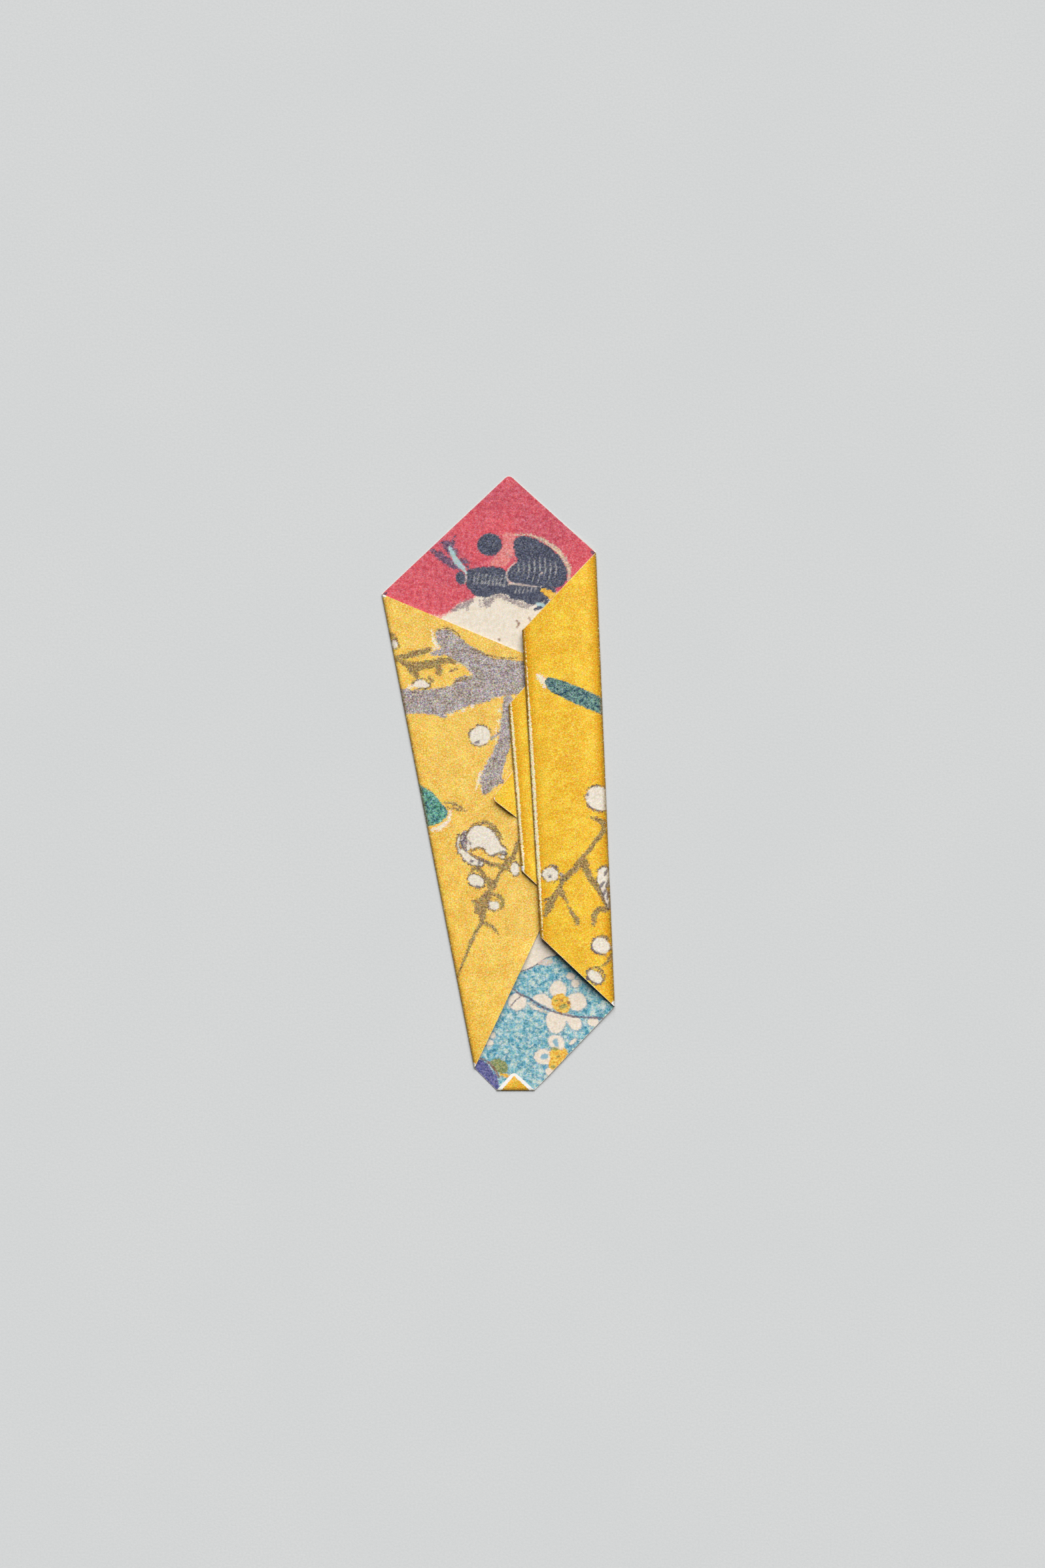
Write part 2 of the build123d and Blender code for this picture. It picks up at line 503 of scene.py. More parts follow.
def draw_right_flap():
    """Teal brush stroke, and an olive branch with buds on both sides."""
    p = "right_flap"
    # teal brush stroke with its white start
    patch("out_teal", p, [
        (15.6, 33.6), (17.5, 34.4), (25, 32), (33.5, 28), (40, 25), (40, 19.5), (33.8, 22.4), (26, 25.5),
        (20, 28.5), (16.2, 30.8),
    ])
    strokes("out_halo", p, [[(13.2, 34.6, 1.6), (14.8, 33.6, 2.6), (15.4, 31.6, 1.6)]])
    # big bud cut by the fold
    oval("out_bloom", p, 33.2, -5.3, 4.6, 4, -25)
    strokes("out_dot", p, [[(29.8, -8, 0.5), (31.6, -9, 0.6), (33.6, -9.6, 0.5)]])
    oval("out_dot", p, 29.4, -4, 0.5, 0.6)
    # olive branch from the right fold to the left, with its forks
    strokes("out_twig", p, [
        [(30.6, -11.4, 0.8), (32.6, -12.3, 1.4), (34.8, -13.4, 1.6)],
        [(34.6, -12.8, 1.2), (34.4, -16.2, 1.8), (32.4, -18.8, 1.7), (30.6, -21.4, 1.6),
         (28.8, -23.6, 1.5), (27.4, -25.4, 2.2)],
        [(25.6, -28.2, 2), (23.4, -30.2, 2), (21.4, -31.8, 2.4)],
        [(21.2, -32.2, 2.2), (20.5, -34, 1.6), (19.8, -35.8, 2.4), (18.4, -37.6, 2.2), (17, -40, 3),
         (15.6, -43.6, 1.6)],
        [(16.4, -38.6, 1.2), (15.2, -38.6, 0.8)],
        [(28.6, -27.6, 3), (29.6, -30, 2.3), (31, -32.6, 2.3), (32.8, -34.8, 1.9), (34.4, -37.6, 1.8),
         (36.2, -41.6, 1.4)],
        [(20.4, -35.8, 2.2), (21.6, -37.6, 1.6), (22.8, -39.4, 0.7)],
        [(23, -40.6, 0.7), (24.4, -43, 1.5), (25.8, -45.2, 2.1), (25.9, -46.4, 1.2)],
        [(35.8, -42, 1.5), (33.6, -41.7, 1.8), (32, -42.8, 1.9), (31.6, -44.6, 1.8), (31.4, -46.8, 1.1)],
    ])
    patch("out_twig", p, [
        (24.9, -27.2), (26.8, -24.9), (28.9, -24.9), (29.8, -27), (30.4, -29.2), (28.2, -29),
        (26.8, -28.4), (25, -30),
    ])
    strokes("out_branch", p, [[(20.6, -30, 1.2), (21.4, -31.6, 1.6), (20.8, -33, 0.8)]])
    oval("out_bloom", p, 17.2, -30.2, 2.7, 2.4)
    strokes("out_dot", p, [[(15.4, -28.2, 0.5), (17.4, -27.3, 0.7), (19.4, -27.8, 0.7)]])
    oval("out_dot", p, 17, -30.9, 0.6, 0.5)
    # streaked bud at the fold
    oval("out_bloom", p, 35, -31.2, 2.6, 3.4)
    strokes("out_bloom", p, [[(34.4, -34, 2.2), (35.4, -37, 1.6), (36.6, -41, 1)]])
    for x, y, turn in (
        (35.6, -29.4, 60), (34.2, -33.6, 50), (35.8, -33.4, 70), (36.2, -37, 75), (35, -36.2, 60),
        (36.7, -40, 80),
    ):
        oval("out_dot", p, x, y, 1.5, 0.5, turn)
    ovals("out_bloom", p, [(33.8, -53.7, 3.2, 2.7, -20), (31.7, -63.9, 2.9, 1.9, -38)])
    strokes("out_dot", p, [
        [(31.6, -51.6, 0.4), (30.6, -53.4, 0.6), (31.2, -55.2, 0.7), (33, -56.4, 0.7), (35.4, -56.8, 0.5)],
        [(29.4, -62, 0.4), (29.2, -63.6, 0.6), (30.6, -65.4, 0.6), (32.6, -66.4, 0.4)],
    ])
    strokes("out_twig", p, [
        [(31, -52, 0.5), (32.6, -50.8, 0.7), (34.8, -50.6, 0.8), (36.6, -51.8, 0.7)],
        [(28.8, -62.4, 0.6), (30.4, -61.2, 0.8), (33, -61, 0.9), (34.6, -62.6, 0.8), (34.8, -64.6, 0.8),
         (33.2, -66.4, 0.5)],
        [(33, -60.8, 0.6), (35.2, -59.8, 1.1), (36.8, -58, 1.4), (38, -56.4, 1.4)],
    ])
    strokes("out_branch", p, [[(35.8, -53.2, 0.9), (36.4, -54.8, 0.7)]])


def draw_hair():
    """Dark rounded hair with comb strokes, a red ground round it and a pale collar below."""
    p = "back_panel"
    patch("in_red", p, [
        (-80, 52), (-40, 56), (-30, 55), (-22, 55.3), (-19.5, 54.9), (-15.5, 56.6), (-13, 58.8),
        (-9, 60.3), (-6, 63), (3, 66), (12, 66), (18, 64), (26, 62), (80, 60), (80, 140), (-80, 140),
    ])
    patch("in_coral", p, [
        (1.5, 81.8), (4.5, 82.2), (6, 80), (5.6, 77), (4.4, 73.6), (1.8, 71.2), (-2.4, 71.4), (-1.2, 74.6),
        (0.8, 76.6), (1.8, 79),
    ])
    strokes("in_halo", p, [
        [(5.4, 81.4, 0.5), (8.5, 81.6, 0.8), (11.8, 81, 1), (15.6, 79.2, 1.3), (18.9, 76.8, 1.5),
         (21.6, 73.6, 1.7), (23.2, 70.2, 1.7), (23.2, 67, 1.2)],
    ])
    ovals("in_hair", p, [(-2.8, 78.3, 4.1, 3.8), (-12.2, 67.3, 1.8, 2.2, 10)])
    patches("in_hair", p, [
        [(5.5, 80.3), (8, 81.1), (11, 80.8), (15, 78.6), (18.5, 76.1), (21.2, 73), (22.7, 69.6),
         (22.4, 66.6), (20.5, 64.3), (15, 64.2), (10, 64.6), (6, 65.2), (3.2, 66.6), (2.7, 69), (4, 71.1),
         (6.2, 72.7), (5.5, 75.4), (5.1, 78)],
        [(-10.6, 69.6), (-8, 70.5), (-5, 71), (-1, 71), (2, 70), (3.6, 67.6), (3.4, 64), (4, 61.2),
         (1.6, 62.2), (-1.2, 61.9), (-4, 60.8), (-6.8, 61.2), (-9.4, 63.2), (-10.9, 66)],
        [(3, 65.2), (8, 64.8), (14, 64.6), (18.4, 64.4), (18.6, 61.6), (15, 59.4), (11, 58.6), (7, 60),
         (3.6, 61)],
    ])
    strokes("in_hair", p, [
        [(12.3, 57, 1), (14.2, 58, 1.6), (16.6, 60, 0.9)],
        [(-12.8, 74.8, 0.4), (-11.8, 72.6, 0.7), (-9.8, 70.6, 0.7)],
    ])
    # seam between the lobes, then comb strokes
    strokes("in_pale", p, [
        [(6, 72.6, 0.3), (4, 71, 0.45), (2.8, 69, 0.4), (3.2, 66.6, 0.5), (5.4, 65.2, 0.3)],
    ])
    for i in range(8):
        x = 6.6 + 1.75 * i
        reach = 1.3 + 2.8 * max(0, 1 - abs(x - 14) / 7)
        stroke("in_comb", p, [(x - 0.5, 69.6 - reach), (x + 0.2, 70.2), (x, 70.4 + reach)],
               [0.25, 0.5, 0.25])
    for i in range(9):
        x = -8.2 + 1.25 * i
        stroke("in_comb", p, [(x, 65.6 - 0.12 * i), (x + 0.7, 68.9 - 0.1 * i)], [0.5, 0.28])
    for i in range(6):
        x = 5.6 + 1.3 * i
        stroke("in_comb", p, [(x, 62.4 + 0.1 * i), (x + 0.35, 64.1)], [0.45, 0.3])
    strokes("in_pale", p, [
        [(3.2, 65.3, 0.3), (7, 65.2, 0.45), (12.6, 64.4, 0.3)],
        [(-10.9, 69.4, 0.4), (-10.5, 67.4, 0.6), (-11, 65.6, 0.3)],
    ])
    oval("in_pale", p, 14.3, 69, 0.4)
    strokes("in_line", p, [[(1.4, 76.2, 0.3), (3.4, 75, 0.5), (5.6, 72.9, 0.4)]])
    # hairpin with its tufts
    strokes("in_plum", p, [
        [(-22, 76.6, 1), (-19.2, 74.6, 2.2), (-16.2, 72.4, 2.6), (-13, 70.6, 1.2)],
        [(-18.4, 79, 1.2), (-16.6, 78, 3.2), (-15, 76, 3), (-13.6, 74.6, 1.2)],
        [(-15, 78.6, 1.4), (-14.4, 81, 0.6)],
        [(-13, 72.8, 1.4), (-11.2, 72.8, 1.7), (-9.6, 72.2, 0.6)],
    ])
    strokes("in_cyan", p, [
        [(-15.9, 77.2, 1.2), (-14.7, 74.6, 1.7), (-13.6, 72.6, 1.9), (-11.6, 70.5, 1.4), (-10.6, 69, 0.8)],
    ])
    # soft grey fringe under the hair
    strokes("in_grey", p, [
        [(-15, 56.6, 0.8), (-13, 58, 1.6), (-10.6, 58.8, 2), (-8, 60, 0.8)],
        [(-10.6, 58.4, 1.2), (-10.4, 57, 0.6)],
        [(-6, 60, 1), (-5.8, 57.6, 0.4)],
        [(-4.6, 60, 1.2), (-3.2, 59, 2.4), (-1.6, 60.8, 1.4), (0.4, 61.6, 1.4), (2.6, 61, 1.8)],
        [(2.6, 61.2, 1.4), (3.6, 60, 1.8), (6.2, 59.2, 1.6), (8.6, 58.2, 1.6), (12, 58.6, 1),
         (15.6, 60, 0.8)],
    ])
    strokes("in_cyan", p, [[(12.8, 58.8, 1), (14.8, 58.4, 1.2)]])
    # yellow comb and small brush marks on the collar
    patch("in_yellow", p, [(13.6, 63.6), (16, 63.6), (19.8, 61.6), (18.2, 60.3), (16.6, 60.6), (15, 62)])
    strokes("in_brown", p, [
        [(6, 53.3, 0.5), (6.9, 52.2, 0.8), (6.1, 50.9, 0.5)],
        [(10.1, 54.1, 0.6), (10.6, 53.2, 0.5)],
    ])
    oval("in_brown", p, 0.3, 47, 0.45)
    strokes("in_line", p, [
        [(31.4, 75.4, 1.2), (30.7, 76, 0.7)],
        [(-37.5, 62, 1.1), (-36.7, 62.6, 0.6)],
    ])


def flower(x, y, size, turn, rim="in_petal"):
    """An open five-petalled blossom seen from the front."""
    for i in range(5):
        angle = math.radians(turn + 72 * i)
        oval(rim, "back_panel", x + size * math.cos(angle), y + size * math.sin(angle),
             size * 0.62, size * 0.5, turn + 72 * i)
    oval("in_yellow", "back_panel", x, y, size * 0.42)
    oval("in_green", "back_panel", x + size * 0.12, y - size * 0.18, size * 0.16)


def draw_blossom_sky():
    """Blue ground with white blossoms, a dark twig across it and the pale hem above."""
    p = "back_panel"
    hem = [(0, -64.6), (7.5, -62.3), (10.5, -61.2), (13.5, -59.5), (15.5, -58), (18, -57.2), (21, -56.9)]
    stroke("in_line", p, hem, [0.4, 0.35, 0.4, 0.45, 0.4, 0.4, 0.3])
    patch("in_blue", p, [
        (-130, -62), (-60, -72), (-20, -70), *hem, (30, -56), (60, -60), (130, -52), (130, -150),
        (-130, -150),
    ])
    strokes("in_line", p, [
        [(5.2, -68.2, 0.6), (7.5, -70, 0.7), (10, -71.1, 0.6), (13, -73, 0.7), (16, -74.7, 0.65),
         (20, -76, 0.6), (24, -77, 0.7), (28, -77.4, 0.6), (33, -77.6, 0.7), (37, -77.9, 0.5)],
        [(4, -74, 0.35), (5.6, -72, 0.4), (8, -70, 0.35)],
    ])
    oval("in_line", p, 13.7, -59.8, 0.7, 0.45, 30)
    strokes("in_halo", p, [[(11, -72.6, 0.7), (13.5, -74.6, 1), (16, -75.6, 0.7)]])
    ovals("in_petal", p, [
        (6.3, -72.3, 3, 2.9), (24, -63.9, 1.4, 1.1), (25.4, -66.2, 1.4, 1.3), (31.3, -78.8, 1.8, 1.6),
        (34.6, -79, 1.3, 0.9, 40),
    ])
    patches("in_petal", p, [
        [(11.3, -71), (13, -69.8), (15.2, -69.8), (17.2, -71.2), (18.4, -73), (17.6, -74.6), (15, -73.4),
         (12.4, -72.2)],
        [(17, -68), (18, -66), (20, -65.4), (22, -66.6), (22.5, -68.8), (21.4, -71), (18.8, -70.8),
         (17.4, -69.8)],
        [(23, -70.6), (25, -69.4), (27.4, -69.6), (29, -71.6), (28.6, -74), (26.6, -75.2), (24.4, -75),
         (23, -73)],
        [(17.6, -75.4), (21, -76.4), (22.2, -78.6), (21.6, -81), (19.6, -82.7), (17.1, -82), (15.9, -79.4),
         (15.9, -76.6)],
        [(21.6, -76.2), (24.2, -76.8), (26.8, -77.8), (27.4, -79.8), (26.4, -81.6), (24.2, -81.2),
         (22.8, -78.8)],
    ])
    strokes("in_petal", p, [[(10, -72.8, 0.7), (12, -74.2, 1.1), (14.6, -75.2, 0.5)]])
    patch("in_yellow", p, [
        (18.2, -70.6), (20.4, -69.4), (22.6, -70.6), (23.8, -72.6), (23.6, -75), (21.6, -76.2),
        (18.8, -75.2), (17.5, -73),
    ])
    ovals("in_green", p, [(21.4, -73.9, 1.4, 0.8, 20), (19, -71.8, 0.7, 0.4)])
    ovals("in_brown", p, [(23.2, -72.6, 0.7, 0.5, -30), (21, -71.8, 0.5, 0.4, -30)])
    # lower blossom: ring petals round a warm centre
    patch("in_yellow", p, [
        (16.8, -94), (17, -90.4), (17.4, -87.8), (19.4, -88), (22, -87.8), (22.9, -89.4), (21.4, -92),
        (18.8, -94.6),
    ])
    patches("in_petal", p, [
        [(16.2, -84.6), (18, -83.3), (20.6, -83.6), (21.8, -85.6), (21.6, -88), (19.4, -87.8),
         (17.2, -87)],
        [(11.8, -90.2), (13.2, -88.2), (15.6, -87.8), (17.4, -89.4), (17.4, -92), (15.8, -93),
         (13, -92.4)],
    ])
    strokes("in_petal", p, [[(24, -85.8, 1), (25.4, -84.8, 1)]])
    oval("in_petal", p, 17.3, -95.5, 1.9, 1.4, -40)
    ovals("in_core", p, [(19, -85.8, 0.9, 1.5, 15), (15.3, -90.2, 1.3, 1, 10)])
    ovals("in_green", p, [(18.6, -87.7, 1.4, 0.6), (18.2, -93.6, 0.9, 0.6), (19.8, -90.2, 0.6, 0.5)])
    strokes("in_pale", p, [[(13.8, -59.4, 1.4), (15.6, -59.4, 2.2), (17.4, -59, 1.4)]])
    # small blooms, violet patch and leaf at the bottom left
    ovals("in_petal", p, [(-1.7, -83.4, 0.9), (-2.7, -85.8, 1.2, 1)])
    strokes("in_cyan", p, [[(-1.5, -84.5, 0.6), (0.2, -86.2, 0.4)]])
    patch("in_purple", p, [
        (-8.2, -95.2), (-7.2, -91.8), (-5.2, -91.2), (-3.4, -93), (-1.6, -95.2), (0.2, -98.6),
        (-0.2, -102), (-4, -103), (-8, -100),
    ])
    strokes("in_brown", p, [[(-5.6, -90.9, 0.5), (-3.6, -92, 0.8), (-1.6, -93.9, 0.9), (0.4, -97.2, 0.5)]])
    patch("in_green", p, [
        (-2.6, -92.2), (-0.8, -91), (1.6, -91.6), (3.2, -93.4), (2.6, -95.4), (0.4, -95.8), (-1.4, -94.4),
    ])
    strokes("in_yellow", p, [[(0.8, -96.2, 1), (3.2, -96.8, 1.4)]])


def under_the_back(points, margin=5.0):
    """Whether points of the sheet lie between the two side folds, well clear of both."""
    points = np.atleast_2d(points)
    left, right = CREASES["left_fold"], CREASES["right_fold"]
    between = (points[:, 0] > left.mirrored(points)[:, 0]) & (points[:, 0] < right.mirrored(points)[:, 0])
    clear = (left.distance(points) > margin) & (right.distance(points) > margin)
    return bool(np.all(between & clear))


def spray(twig, bud, x, y, heading, length, dice):
    """A twig with side shoots and buds, for the parts of the sheet that the folds hide."""
    path = [np.array([x, y])]
    for _ in range(5):
        heading += dice.uniform(-22, 22)
        step = length / 5 * np.array([math.cos(math.radians(heading)), math.sin(math.radians(heading))])
        path.append(path[-1] + step)
    if not under_the_back(path):
        return
    stroke(twig, "back_panel", path, np.linspace(1.8, 0.7, 6))
    for joint in path[1:]:
        side = heading + dice.choice([-1, 1]) * dice.uniform(35, 70)
        reach = dice.uniform(3.5, 6.5)
        tip = joint + reach * np.array([math.cos(math.radians(side)), math.sin(math.radians(side))])
        size = dice.uniform(1.7, 3.0)
        if under_the_back(tip):
            stroke(twig, "back_panel", [joint, (joint + tip) / 2 + dice.uniform(-0.5, 0.5, 2), tip],
                   [1.1, 0.8, 0.6])
            oval(bud, "back_panel", *tip, size, size * 0.85, side)


def draw_hidden_parts():
    """The same kinds of shapes, scattered where the folds or the table hide the print."""
    dice = np.random.default_rng(15)
    for y in range(-88, 84, 11):
        for x in (-12, 12):
            spray("out_twig", "out_bloom", x + dice.uniform(-5, 5), y, dice.uniform(0, 360),
                  dice.uniform(12, 22), dice)
    stroke("out_branch", "back_panel", [(-24, 30), (-14, 27), (-4, 29), (6, 25), (16, 27), (24, 22)],
           [2, 6, 7, 6, 5, 2])
    patch("out_teal", "back_panel", [(-8, -50), (0, -47), (8, -50), (2, -54), (-5, -54)])
    for x, low, high in ((-60, -60, 60), (-82, -40, 50), (56, -50, 60), (78, -30, 40)):
        for y in range(low, high, 17):
            flower(x + dice.uniform(-6, 6), y + dice.uniform(-5, 5), dice.uniform(3.2, 4.6),
                   dice.uniform(0, 72))
    for x in (-12, 6, 24):
        for y in range(-36, 28, 14):
            flower(x + dice.uniform(-4, 4), y + dice.uniform(-3, 3), dice.uniform(2.4, 3.6),
                   dice.uniform(0, 72), rim="in_coral")


def farthest_corner(node, x, y):
    """The corner of a panel that lies farthest in a direction."""
    corners = plate_corners(node)
    return corners[np.argmax(corners @ (x, y))]


def draw_bare_paper():
    """Places where the print stops short of the sheet's edge."""
    for node, way, shift, size in (
        ("left_flap", (0, -1), (0, 0), (1.0, 1.9, 15)),
        ("right_flap", (0, -1), (0, 0), (1.0, 1.9, 15)),
        ("left_flap", (0, 1), (0.6, -0.5), (1.0, 0.6)),
        ("pleat_2_tip", (-1, 0), (0.2, 0), (0.7, 0.9)),
        ("pleat_1_strip", (-1, -0.2), (0.2, 0.6), (0.6, 0.9)),
    ):
        oval("out_bare", node, *(farthest_corner(node, *way) + shift), *size)
    point = farthest_corner("base_tip", 0, 1)
    for corner in plate_corners("base_tip"):
        if corner[1] < point[1]:
            stroke("out_bare", "base_tip", [corner, point], [2.2, 2.2])


def wear_width(xy, node):
    """Half the width of the worn white line beside the fold of a pleat, in mm."""
    if node == "right_flap":
        near = CREASES["pleat_a_fold"].distance(xy) < FAR
        half = np.interp(xy[:, 1], [-52, -38, -29, -15, 0, 14, 24, 30, 52],
                         [0.1, 0.3, 0.62, 0.56, 0.6, 0.52, 0.36, 0.2, 0.0])
    elif node == "pleat_1_strip":
        near = CREASES["pleat_c_fold"].distance(xy) < FAR
        half = np.interp(xy[:, 1], [-30, -24, 0, 20, 26], [0.2, 0.4, 0.5, 0.44, 0.2])
    else:
        return np.full(len(xy), -1.0)
    return np.where(near, half, -1)


def fold_distance(xy, node):
    """Distance of points of a panel from its nearest crease."""
    nearest = np.full(len(xy), FAR)
    for side in sides_of(plate_corners(node)):
        crease = crease_on(side, node)
        if crease is not None:
            nearest = np.minimum(nearest, crease.distance(xy))
    return nearest


def carry_fields(mesh, node):
    """Stores on the mesh points how far each lies from every ink, cut edge and fold."""
    co = np.empty(len(mesh.vertices) * 3)
    mesh.vertices.foreach_get("co", co)
    xy = co.reshape(-1, 3)[:, :2] / MM
    flat = on_sheet(xy, node)
    fields = {
        "cut": np.minimum(cut_distance(xy, node), FAR),
        "fold": fold_distance(xy, node),
        "wear": wear_width(xy, node),
        "side": smooth((flat[:, 0] + 60) / 120),  # 0 at the sheet's left, 1 at its right
    }
    for ink, motifs in DRAWING.items():
        field = np.full(len(xy), FAR)
        for motif in motifs:
            motif.add_to(field, flat)
        fields[ink] = field
    for name, values in fields.items():
        attribute = mesh.attributes.new(name, "FLOAT", "POINT")
        attribute.data.foreach_set("value", values.astype(np.float32))


# ---------------------------------------------------------------- materials

def ink(red, green, blue):
    """A colour given as it looks on a screen, as the base colour that shows so in this light."""
    levels = [c / 255 for c in (red, green, blue)]
    linear = [c / 12.92 if c <= 0.04045 else ((c + 0.055) / 1.055) ** 2.4 for c in levels]
    return tuple(min(c / LIGHT_LEVEL, 1.0) for c in linear) + (1.0,)


class Graph:
    """One material's node tree, with a short call for each kind of node."""

    def __init__(self, name):
        self.material = bpy.data.materials.new(name)
        self.material.use_nodes = True
        self.nodes = self.material.node_tree.nodes
        self.links = self.material.node_tree.links
        self.shader = self.nodes["Principled BSDF"]
        self.place = self.nodes.new("ShaderNodeTexCoord").outputs["Object"]
        self.ragged = None  # noise that frays the edges of the inks, made once
        self.colour = None  # of everything painted so far

    def put(self, socket, value):
        """Feeds a socket from another one, or with a number or a colour as ink() takes it."""
        if isinstance(value, bpy.types.NodeSocket):
            self.links.new(value, socket)
        else:
            socket.default_value = ink(*value) if isinstance(value, tuple) else value

    def math(self, operation, *values):
        node = self.nodes.new("ShaderNodeMath")
        node.operation = operation
        for socket, value in zip(node.inputs, values):
            self.put(socket, value)
        return node.outputs[0]

    def attribute(self, name):
        node = self.nodes.new("ShaderNodeAttribute")
        node.attribute_name = name
        return node.outputs["Fac"]

    def noise(self, size, detail=2.0, roughness=0.55, distortion=0.0, output=0):
        node = self.nodes.new("ShaderNodeTexNoise")
        self.links.new(self.place, node.inputs["Vector"])
        node.inputs["Scale"].default_value = 1 / (size * MM)
        node.inputs["Detail"].default_value = detail
        node.inputs["Roughness"].default_value = roughness
        node.inputs["Distortion"].default_value = distortion
        return node.outputs[output]

    def ripple(self, size, detail, roughness=0.55):
        """Noise on both sides of zero."""
        return self.math("SUBTRACT", self.noise(size, detail, roughness), 0.5)

    def remap(self, value, start, end, low=0.0, high=1.0, interpolation="LINEAR"):
        """Takes start..end to low..high."""
        node = self.nodes.new("ShaderNodeMapRange")
        node.interpolation_type = interpolation
        self.put(node.inputs["Value"], value)
        for name, bound in (("From Min", start), ("From Max", end), ("To Min", low), ("To Max", high)):
            node.inputs[name].default_value = bound
        return node.outputs["Result"]

    def ramp(self, value, start, end):
        """0 at start, 1 at end, smooth between."""
        return self.remap(value, start, end, interpolation="SMOOTHSTEP")

    def mix(self, share, first, second, blend="MIX"):
        node = self.nodes.new("ShaderNodeMix")
        node.data_type = "RGBA"
        node.blend_type = blend
        factor, a, b = [socket for socket in node.inputs if socket.enabled]
        self.put(factor, share)
        self.put(a, first)
        self.put(b, second)
        return [socket for socket in node.outputs if socket.enabled][0]

    def inked(self, field, edge=0.28, rough=0.5, grow=0.0):
        """Where the ink of a field lies, with the ragged, stippled edge of a print on rough paper."""
        if self.ragged is None:
            coarse = self.math("MULTIPLY", self.ripple(1.3, 3.0), 1.7)
            self.ragged = self.math("MULTIPLY_ADD", self.ripple(0.42, 2.0, 0.7), 2.4, coarse)
        value = self.math("MULTIPLY_ADD", self.ragged, rough, self.attribute(field))
        return self.ramp(value, grow + edge, grow - edge)

    def stain(self, share, strength, colour):
        """Mixes a colour in, as far as share and strength multiplied."""
        self.colour = self.mix(self.math("MULTIPLY", share, strength), self.colour, colour)

    def paint(self, field, colour, strength=1.0, **how):
        """Prints one ink over what is there."""
        share = self.inked(field, **how)
        if strength != 1.0:
            share = self.math("MULTIPLY", share, strength)
        self.colour = self.mix(share, self.colour, colour)

    def bump(self, height, strength, depth):
        """Tilts the surface with a height that spans depth, in millimetres."""
        node = self.nodes.new("ShaderNodeBump")
        node.inputs["Strength"].default_value = strength
        node.inputs["Distance"].default_value = depth * MM
        self.put(node.inputs["Height"], height)
        self.put(self.shader.inputs["Normal"], node.outputs["Normal"])

    def surface(self, roughness, specular=0.5):
        """Finishes the shader and returns the material."""
        self.put(self.shader.inputs["Base Color"], self.colour)
        self.put(self.shader.inputs["Roughness"], roughness)
        self.shader.inputs["Specular IOR Level"].default_value = specular
        return self.material


def mottled(graph, dark, light, size=0.55, start=0.34, end=0.66):
    """A pigment that varies between two shades."""
    share = graph.ramp(graph.noise(size, 4.0, 0.75), start, end)
    return graph.mix(share, dark, light)


def grained(graph):
    """The inks so far, broken into the fine many-coloured grain of a print on rough paper."""
    gamma = graph.nodes.new("ShaderNodeGamma")
    graph.put(gamma.inputs["Color"], graph.colour)
    graph.put(gamma.inputs["Gamma"], graph.remap(graph.noise(0.46, 2.0, 0.7), 0.25, 0.75, 0.44, 1.64))
    speck = graph.nodes.new("ShaderNodeMapRange")
    speck.data_type = "FLOAT_VECTOR"
    value, *bounds = [socket for socket in speck.inputs if socket.enabled]
    graph.put(value, graph.noise(0.36, 2.0, 0.7, output=1))
    limits = ((0.28, 0.28, 0.28), (0.72, 0.72, 0.72), (0.58, 0.58, 0.38), (1.40, 1.40, 1.64))
    for socket, limit in zip(bounds, limits):
        socket.default_value = limit
    tint = [socket for socket in speck.outputs if socket.enabled][0]
    return graph.mix(1.0, gamma.outputs["Color"], tint, "MULTIPLY")


def printed_paper(graph, grain, roughness):
    """Finishes a printed face: grain, bare fibres at the cut edges and folds, painted shade right along
    the folds, and a soft relief.
    """
    cut, fold, side = [graph.attribute(name) for name in ("cut", "fold", "side")]
    graph.colour = graph.mix(grain, graph.colour, grained(graph))
    flecks = graph.ramp(graph.noise(0.34, 2.0, 0.6), 0.60, 0.74)
    off_fold = graph.math("MULTIPLY_ADD", graph.ramp(fold, 0.6, 3.6), 0.24, 0.16)
    graph.stain(graph.math("MULTIPLY", flecks, off_fold), grain, (252, 244, 224))
    soot = graph.ramp(graph.noise(0.40, 2.0, 0.65, distortion=0.4), 0.60, 0.78)
    graph.stain(graph.math("MULTIPLY", soot, 0.34), grain, (126, 92, 70))
    frayed = graph.ripple(0.5, 3.0, 0.6)
    bare = graph.ramp(graph.math("MULTIPLY_ADD", frayed, 0.7, cut), 0.22, 0.04)
    strength = graph.math("MULTIPLY_ADD", side, 0.5, 0.05)
    graph.stain(bare, strength, (244, 236, 218))
    # Painted shade: a narrow dark band right at each fold, where the paper rounds away from the light.
    fold_shade_line = graph.ramp(graph.math("MULTIPLY_ADD", frayed, 1.6, fold), 0.62, 0.1)
    graph.stain(fold_shade_line, 0.55, (104, 82, 34))
    chipped = graph.math("MULTIPLY_ADD", graph.ripple(0.7, 4.0, 0.7), 3.4, fold)
    graph.stain(graph.ramp(chipped, -0.05, -0.4), 0.65, (246, 236, 210))
    relief = graph.math("MULTIPLY_ADD", graph.noise(1.6, 3.0), 1.5, graph.noise(0.3, 2.0))
    graph.bump(relief, 0.35, 0.05)
    dull = graph.remap(graph.noise(0.6, 2.0), 0, 1, roughness - 0.12, roughness + 0.12)
    return graph.surface(dull, 0.2)


